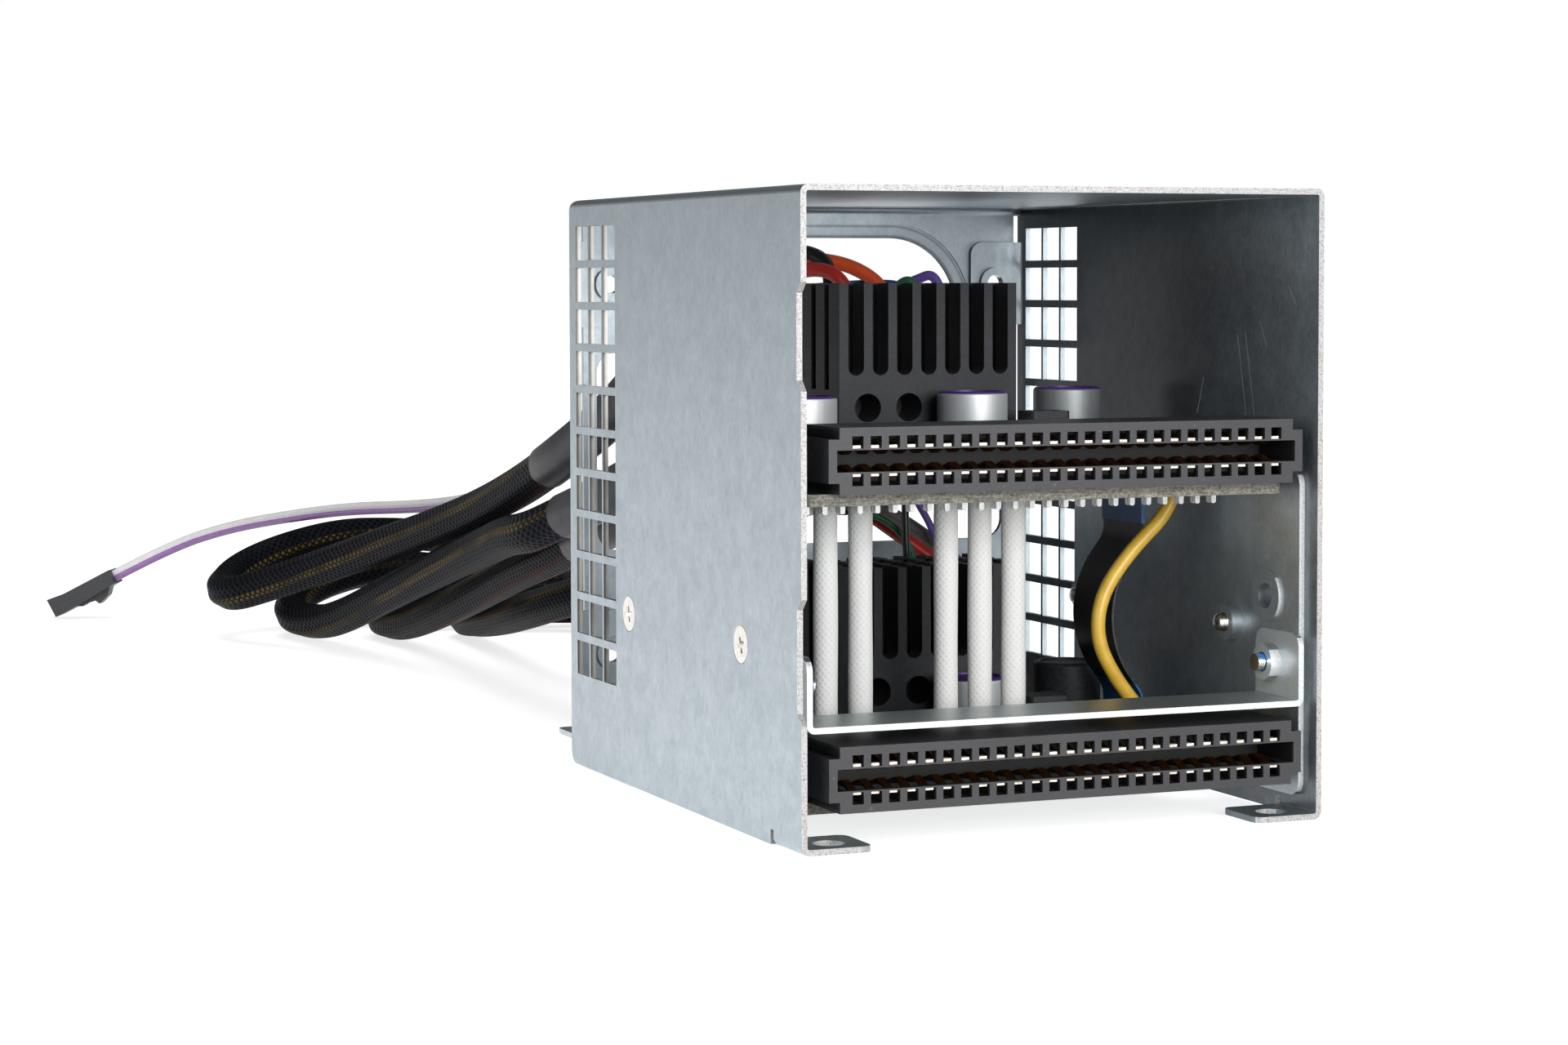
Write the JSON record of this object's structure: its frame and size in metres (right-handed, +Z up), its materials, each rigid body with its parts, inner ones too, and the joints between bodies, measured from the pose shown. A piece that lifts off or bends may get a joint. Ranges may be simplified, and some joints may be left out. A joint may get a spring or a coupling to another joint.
{
  "type": "redundant power supply cage",
  "caption": "Open-front steel cage of a redundant server power supply with stacked card-edge sockets, heat sinks and a braided cable harness.",
  "frame": {"origin": "on the floor, in the middle of the cage with its rear feet, cables left out", "axes": "+Z up, +Y to the rear, where the cables leave, +X to the right seen from the open front"},
  "size_m": [0.1278, 0.3453, 0.085],
  "materials": {
    "galvanised_steel": "satin zinc coating",
    "nickel_plate": "bright nickel",
    "flex_film": "semi-gloss film",
    "board_laminate": "resin laminate",
    "socket_plastic": "moulded, matt",
    "contact_metal": "plated spring metal",
    "black_anodised": "black anodised",
    "tinned_strap": "tinned",
    "ferrite": "sintered, matt",
    "cream_plastic": "moulded",
    "can_aluminium": "drawn can",
    "white_sleeve": "braided sleeve",
    "yellow_wire": "insulation",
    "black_wire": "insulation",
    "green_wire": "insulation",
    "purple_wire": "insulation",
    "red_wire": "insulation",
    "orange_wire": "insulation",
    "blue_wire": "insulation",
    "grey_wire": "insulation",
    "shrink_tube": "heat-shrink, matt",
    "braided_sleeve": "open braid over wires",
    "plug_plastic": "moulded",
    "signal_jacket": "insulation"
  },
  "bodies": {
    "root": {"cover": "galvanised_steel", "left_inner_plate": "galvanised_steel", "right_inner_plate": "galvanised_steel", "shelf_bracket": "galvanised_steel", "wall_screws": "nickel_plate", "shelf_screws": "nickel_plate", "board_screws": "nickel_plate", "flex_jumper": "flex_film", "upper_board": "board_laminate", "upper_socket_housing": "socket_plastic", "upper_socket_contacts": "contact_metal", "upper_heat_sink": "black_anodised", "upper_ferrite_strap": "tinned_strap", "upper_ferrite": "ferrite", "upper_flex_socket": "cream_plastic", "upper_capacitor_1": "can_aluminium", "upper_capacitor_2": "can_aluminium", "upper_capacitor_3": "can_aluminium", "lower_board": "board_laminate", "lower_socket_housing": "socket_plastic", "lower_socket_contacts": "contact_metal", "lower_heat_sink": "black_anodised", "lower_ferrite_strap": "tinned_strap", "lower_ferrite": "ferrite", "lower_flex_socket": "cream_plastic", "lower_capacitor_1": "can_aluminium", "lower_capacitor_2": "can_aluminium", "lower_capacitor_3": "can_aluminium", "link_lead_1": "white_sleeve", "link_lead_2": "white_sleeve", "link_lead_3": "white_sleeve", "link_lead_4": "white_sleeve", "link_lead_5": "white_sleeve", "yellow_lead": "yellow_wire", "sense_lead_black": "black_wire", "sense_lead_green": "green_wire", "sense_lead_purple": "purple_wire", "black_lead": "black_wire", "red_lead": "red_wire", "orange_lead": "orange_wire", "green_lead": "green_wire", "blue_lead": "blue_wire", "signal_lead": "purple_wire", "lower_black_lead": "black_wire", "lower_red_lead": "red_wire", "lower_grey_lead": "grey_wire", "cable_a_shrink": "shrink_tube", "cable_a": "braided_sleeve", "cable_a_plug": "plug_plastic", "cable_b_shrink": "shrink_tube", "cable_b": "braided_sleeve", "cable_b_plug": "plug_plastic", "cable_c_shrink": "shrink_tube", "cable_c": "braided_sleeve", "cable_c_plug": "plug_plastic", "cable_d_shrink": "shrink_tube", "cable_d": "braided_sleeve", "cable_d_plug": "plug_plastic", "signal_cable": "signal_jacket", "signal_plug": "plug_plastic"}
  },
  "joints": []
}
